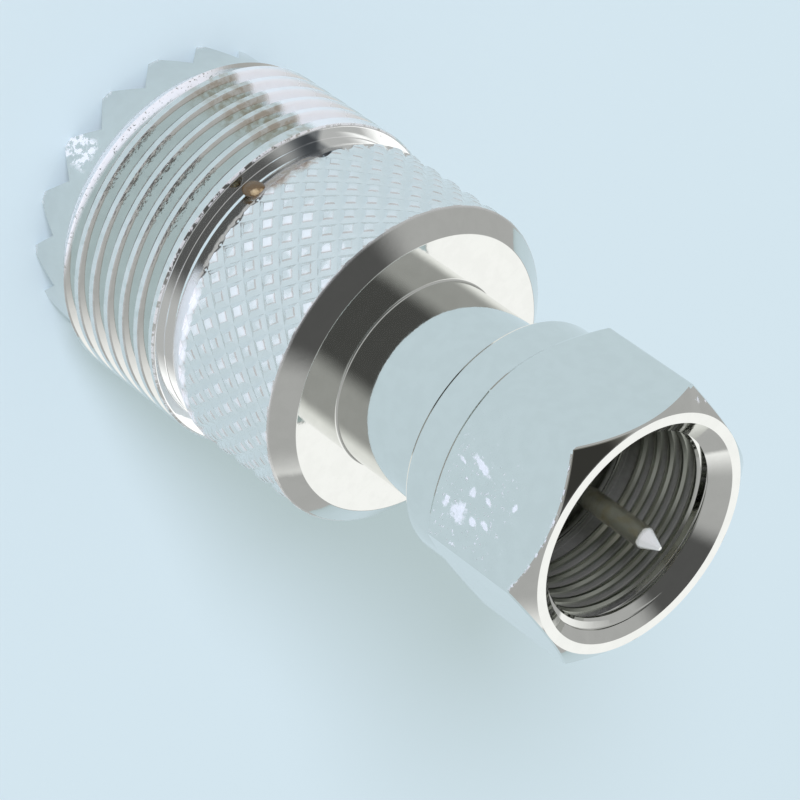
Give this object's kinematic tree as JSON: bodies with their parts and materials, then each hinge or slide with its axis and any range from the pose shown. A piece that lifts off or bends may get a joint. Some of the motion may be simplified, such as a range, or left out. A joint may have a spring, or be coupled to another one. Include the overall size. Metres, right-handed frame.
{
  "type": "coaxial adapter",
  "caption": "Coaxial adapter: threaded socket with a toothed mouth and knurled collar at one end, hexagonal coupling nut with a centre pin at the other.",
  "frame": {"origin": "centre of the socket's mouth, in the plane of its tooth tips", "axes": "+Z along the axis from the toothed mouth to the coupling nut and pin; +X through one notch between teeth; a nut corner points along -Y at rest"},
  "size_m": [0.0158, 0.0158, 0.0328],
  "materials": {
    "nickel_plate": "bright nickel over brass, worn on the nut",
    "contact_plate": "satin plate on brass",
    "white_plastic": "matt",
    "spring_steel": "satin"
  },
  "bodies": {
    "jack": {"jack_body": "nickel_plate", "jack_insulator": "white_plastic", "jack_contact": "contact_plate", "front_insulator": "white_plastic", "centre_pin": "contact_plate", "retaining_ring": "spring_steel"},
    "nut": {"coupling_nut": "nickel_plate"}
  },
  "joints": [
    {"name": "nut_turn", "type": "hinge", "parent": "jack", "child": "nut", "pos_m": [0, 0, 0.0274], "axis": [0, 0, 1], "continuous": true}
  ]
}
